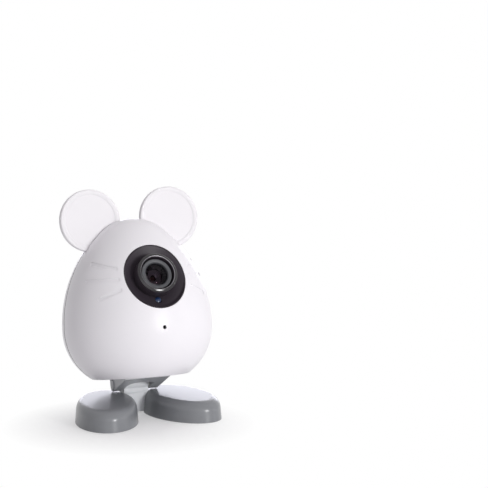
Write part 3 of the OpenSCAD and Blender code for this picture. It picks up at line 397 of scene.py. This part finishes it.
# Coated lens glass: clear, with reflections so weak that the barrel looks deep and dark.
lens_glass = coated_glass("Coated lens glass", "#a8a2aa", roughness=0.02, tint="#33242a")
for node in ("front_lens", "rear_lens"):
    finished_copy(node, "head", lens_glass)

# Aperture stop and middle element: a stamped brass disc with a hole, and a small glass behind it.
# Both lie in the bore of the barrel and are seen only through the front glass.
bore_r, stop_r, stop_t, stop_dish, stop_z = 0.00335, 0.0013, 0.0003, 0.0005, -0.0032  # in metres
bpy.ops.object.select_all(action="DESELECT")
bpy.ops.mesh.primitive_circle_add(vertices=64, radius=bore_r, fill_type="NGON", location=(0, 0, 0))
stop = bpy.context.object
stop.name = "aperture_stop"
bpy.ops.object.mode_set(mode="EDIT")
bpy.ops.mesh.select_all(action="SELECT")
bpy.ops.mesh.inset(thickness=bore_r - stop_r, depth=-stop_dish)
bpy.ops.mesh.delete(type="FACE")
bpy.ops.object.mode_set(mode="OBJECT")
wall = stop.modifiers.new("Stop thickness", "SOLIDIFY")
wall.thickness = stop_t
wall.offset = 0.0
bpy.ops.object.modifier_apply(modifier=wall.name)
bpy.ops.object.mode_set(mode="EDIT")
bpy.ops.mesh.select_all(action="SELECT")
bpy.ops.mesh.normals_make_consistent(inside=False)
bpy.ops.object.mode_set(mode="OBJECT")
bpy.ops.object.shade_smooth_by_angle(angle=math.radians(30))
settle(stop, lens_place @ Matrix.Translation((0, 0, stop_z)))
# Blackened brass: a soft plum grey that fills the glass.
stop_black = coloured_finish("Blackened brass", "#635d64", "#5f5960",
                             roughness=0.5, spread=0.05, grain_mm=0.4, depth_mm=0.0005)
stop.data.materials.append(stop_black)
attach(stop, "head")

curve_r, cut_z, middle_z = 0.0048, 0.0036, -0.0088  # in metres
bpy.ops.object.select_all(action="DESELECT")
bpy.ops.mesh.primitive_uv_sphere_add(segments=64, ring_count=48, radius=curve_r, location=(0, 0, 0))
middle = bpy.context.object
middle.name = "middle_element"
bpy.ops.object.mode_set(mode="EDIT")
bpy.ops.mesh.select_all(action="SELECT")
bpy.ops.mesh.bisect(plane_co=(0, 0, cut_z), plane_no=(0, 0, 1), use_fill=True, clear_inner=True)
bpy.ops.object.mode_set(mode="OBJECT")
bpy.ops.object.shade_smooth_by_angle(angle=math.radians(30))
settle(middle, lens_place @ Matrix.Translation((0, 0, middle_z)))
# Red-coated glass: a small warm glint deep in the lens.
red_glass = coated_glass("Red-coated lens glass", "#5a3a3a", roughness=0.12, tint="#ff8a70")
middle.data.materials.append(red_glass)
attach(middle, "head")

# Filter changer: a moulded housing with a slider that carries two panes, cemented in.
# The coil moves the slider between day and night.
# Filter glass: clear with a cold blue tint.
filter_glass = coated_glass("Filter glass", "#a9c4cf", roughness=0.01, tint="#ffffff")
finish_node(("infrared_filter", "clear_filter"), filter_glass)
# Glass-filled nylon: a dull black with a fine, slightly rough grain.
inner_black = coloured_finish("Black glass-filled nylon", "#202124", "#1b1c1f",
                              roughness=0.6, spread=0.06, grain_mm=0.3, depth_mm=0.01)
finish_node(("lens_holder", "filter_housing", "filter_cover", "filter_slider"), inner_black)

# Status light: a small light pipe of polycarbonate, moulded and pushed into the dish below the lens.
# It ends flush with the dish.
# Tinted polycarbonate: a glossy dark blue while the lamp behind it is off.
blue_pipe = coloured_finish("Tinted polycarbonate", "#142f57", "#10284c",
                            roughness=0.3, spread=0.03, grain_mm=0.8, depth_mm=0.0005)
finished_copy("status_light", "head", blue_pipe)

# Boards and parts inside the head: glass-fibre boards, moulded packages and pressed cans.
# The boards are screwed to posts of the rear shell and of the bezel, and the parts soldered on.
# Board lacquer: a deep green with a soft gloss.
lacquer = coloured_finish("Green board lacquer", "#1f5b3a", "#1a5033",
                          roughness=0.35, spread=0.06, grain_mm=0.5, depth_mm=0.01)
finish_node(("main_board", "sensor_board", "led_board"), lacquer)
finish_node(("processor", "image_sensor", "reset_switch", "speaker_frame", "speaker_cone"), inner_black)
finish_node(("sensor_screws", "board_screws", "usb_socket", "card_socket", "wifi_module", "microphone"),
            zinc_steel)
finish_node(("microphone_boot", "speaker_gasket"), pad_rubber)
# Enamelled copper: a warm red brown with a shine.
copper = plated_metal("Enamelled copper", "#b06a35", roughness=0.3, mark_mm=0.15)
finish_node(("filter_coil", "antenna"), copper)
# Anodised aluminium: a pale, even grey.
alloy = plated_metal("Anodised aluminium", "#b9bcc0", roughness=0.4, mark_mm=0.25)
finish_node(("heat_spreader",), alloy)
# Sintered ferrite: a dull, dark grey.
ferrite = plated_metal("Sintered ferrite", "#55575b", roughness=0.5, mark_mm=0.3)
finish_node(("speaker_magnet",), ferrite)
# Clear epoxy: a pale, glassy lens over each emitter.
emitter = coloured_finish("Clear epoxy", "#d6d9dd", "#cdd0d5",
                          roughness=0.2, spread=0.03, grain_mm=0.5, depth_mm=0.001)
finish_node(("infrared_leds",), emitter)
# Polyimide film: amber, with a soft gloss.
film = coloured_finish("Polyimide film", "#b98f45", "#ae853e",
                       roughness=0.35, spread=0.05, grain_mm=0.5, depth_mm=0.004)
finish_node(("sensor_ribbon",), film)

# Reset button: a small push button at the back of the head, moulded in the neck's satin ABS.
# It slides in the rear shell and rests on the switch.
finished_copy("reset_button", "button", satin_abs)

# Floor: a sheet of white paper that keeps the soft shadow under the feet.
# Further out it is plain white to the eye, in mirrors and through glass, so that no horizon shows.
def seen_white(tree):
    """1 for the rays that see the white background: from the camera, off a gloss or through glass."""
    path = add_node(tree, "ShaderNodeLightPath")
    seen = add_node(tree, "ShaderNodeMath", {"operation": "MAXIMUM"})
    tree.links.new(path.outputs["Is Camera Ray"], seen.inputs[0])
    tree.links.new(path.outputs["Is Glossy Ray"], seen.inputs[1])
    seen_through = add_node(tree, "ShaderNodeMath", {"operation": "MAXIMUM"})
    tree.links.new(seen.outputs[0], seen_through.inputs[0])
    tree.links.new(path.outputs["Is Transmission Ray"], seen_through.inputs[1])
    return seen_through


# White paper: a bright, even white with a faint cloud of fibres.
floor_size, floor_spot, fibre_mm = 6.0, (-0.012, -0.02, 0), 3
shadow_r, white_r, least_glow = 0.02, 0.065, 0.3  # the shadow is full inside the first and gone past the second
floor_paper = bpy.data.materials.new("White paper")
floor_paper.use_nodes = True
tree = floor_paper.node_tree
tree.nodes.clear()
place = add_node(tree, "ShaderNodeTexCoord")
fibre = add_node(tree, "ShaderNodeTexNoise", {"Scale": per_metre(fibre_mm)}, {"Vector": (place, "Object")})
tone = add_node(tree, "ShaderNodeMix", {"data_type": "RGBA"}, {"Factor": (fibre, "Fac")})
tone.inputs[mix_from].default_value = linear("#fcfcfd")
tone.inputs[mix_to].default_value = linear("#fafafb")
paper = add_node(tree, "ShaderNodeBsdfDiffuse")
tree.links.new(tone.outputs[mix_out], paper.inputs["Color"])
glow = add_node(tree, "ShaderNodeEmission", {"Color": (1, 1, 1, 1), "Strength": 1.0})
white = seen_white(tree)
reach = add_node(tree, "ShaderNodeVectorMath", {"operation": "LENGTH"}, {"Vector": (place, "Object")})
fade = add_node(tree, "ShaderNodeMapRange",
                {"From Min": shadow_r, "From Max": white_r, "To Min": least_glow, "To Max": 1.0},
                {"Value": (reach, "Value")})
share = add_node(tree, "ShaderNodeMath", {"operation": "MULTIPLY"})
tree.links.new(white.outputs[0], share.inputs[0])
tree.links.new(fade.outputs["Result"], share.inputs[1])
mixed = add_node(tree, "ShaderNodeMixShader")
tree.links.new(share.outputs[0], mixed.inputs[0])
tree.links.new(paper.outputs[0], mixed.inputs[1])
tree.links.new(glow.outputs[0], mixed.inputs[2])
end = add_node(tree, "ShaderNodeOutputMaterial")
tree.links.new(mixed.outputs[0], end.inputs["Surface"])
bpy.ops.object.select_all(action="DESELECT")
bpy.ops.mesh.primitive_plane_add(size=floor_size, location=floor_spot)
floor = bpy.context.object
floor.name = "floor_sweep"
floor.data.materials.append(floor_paper)

# Light: a pale room, darker on the left and low down, before a white background.
# Two compact soft boxes stand in front and to the right, with a wide weak one beside the camera,
# and a low wide one behind skims the feet.
world = bpy.data.worlds.new("Pale studio")
bpy.context.scene.world = world
world.use_nodes = True
tree = world.node_tree
room = tree.nodes["Background"]
place = add_node(tree, "ShaderNodeTexCoord")
way = add_node(tree, "ShaderNodeSeparateXYZ", {}, {"Vector": (place, "Generated")})
dark_to, right_level, top_level = -0.4, 0.42, 0.62  # where the dark left ends, and the light right and overhead
sides = add_node(tree, "ShaderNodeMapRange",
                 {"From Min": dark_to, "From Max": 1.0, "To Min": 0.0, "To Max": right_level},
                 {"Value": (way, "X")})
rise = add_node(tree, "ShaderNodeMapRange",
                {"From Min": 0.0, "From Max": 1.0, "To Min": 0.0, "To Max": top_level},
                {"Value": (way, "Z")})
soft = add_node(tree, "ShaderNodeMath", {"operation": "ADD"})
tree.links.new(sides.outputs["Result"], soft.inputs[0])
tree.links.new(rise.outputs["Result"], soft.inputs[1])
white = seen_white(tree)
level = add_node(tree, "ShaderNodeMix", {"data_type": "FLOAT"}, {"Factor": (white, "Value")})
level_from, level_to = 2, 3  # the number sockets of a Mix node
tree.links.new(soft.outputs[0], level.inputs[level_from])
level.inputs[level_to].default_value = 1.0
hue = add_node(tree, "ShaderNodeMix", {"data_type": "RGBA"}, {"Factor": (white, "Value")})
hue.inputs[mix_from].default_value = (1.0, 0.975, 0.99, 1)
hue.inputs[mix_to].default_value = (1, 1, 1, 1)
tree.links.new(hue.outputs[mix_out], room.inputs["Color"])
tree.links.new(level.outputs[0], room.inputs["Strength"])
centre = Vector((0, 0, 0.058))
for name, spot, width, height, power, colour in (
    ("Front soft box", (0.44, -1.42, 0.33), 0.32, 0.32, 9.7, (1, 1, 1)),
    ("Right soft box", (1.27, -0.55, 0.19), 0.1, 0.1, 0.35, (1, 1, 1)),
    ("Wide front fill", (-0.62, -1.42, 0.28), 1.2, 1.2, 2.8, (1, 1, 1)),
    ("Low back screen", (0.62, 1.36, 0.28), 1.2, 0.5, 5.5, (0.88, 0.88, 1)),
):
    lamp = bpy.data.lights.new(name, "AREA")
    lamp.shape = "RECTANGLE"
    lamp.size = width
    lamp.size_y = height
    lamp.energy = power
    lamp.color = colour
    box = bpy.data.objects.new(name, lamp)
    box.location = spot
    box.rotation_euler = (centre - Vector(spot)).to_track_quat("-Z", "Y").to_euler()
    box.visible_camera = False
    bpy.context.scene.collection.objects.link(box)

# Camera: a long lens, a little above the head and to its right side.
# It stands where the photograph was taken from.
eye = bpy.data.cameras.new("Studio camera")
eye.sensor_width = 36.0
eye.lens = 118.12
eye.clip_start, eye.clip_end = 0.05, 20.0
view = bpy.data.objects.new("Studio camera", eye)
view.location = (-0.29204, -0.77217, 0.19101)
view.rotation_euler = (math.radians(83.0), 0, math.radians(-24.585))
bpy.context.scene.collection.objects.link(view)
bpy.context.scene.camera = view
bpy.context.scene.view_settings.view_transform = "Standard"
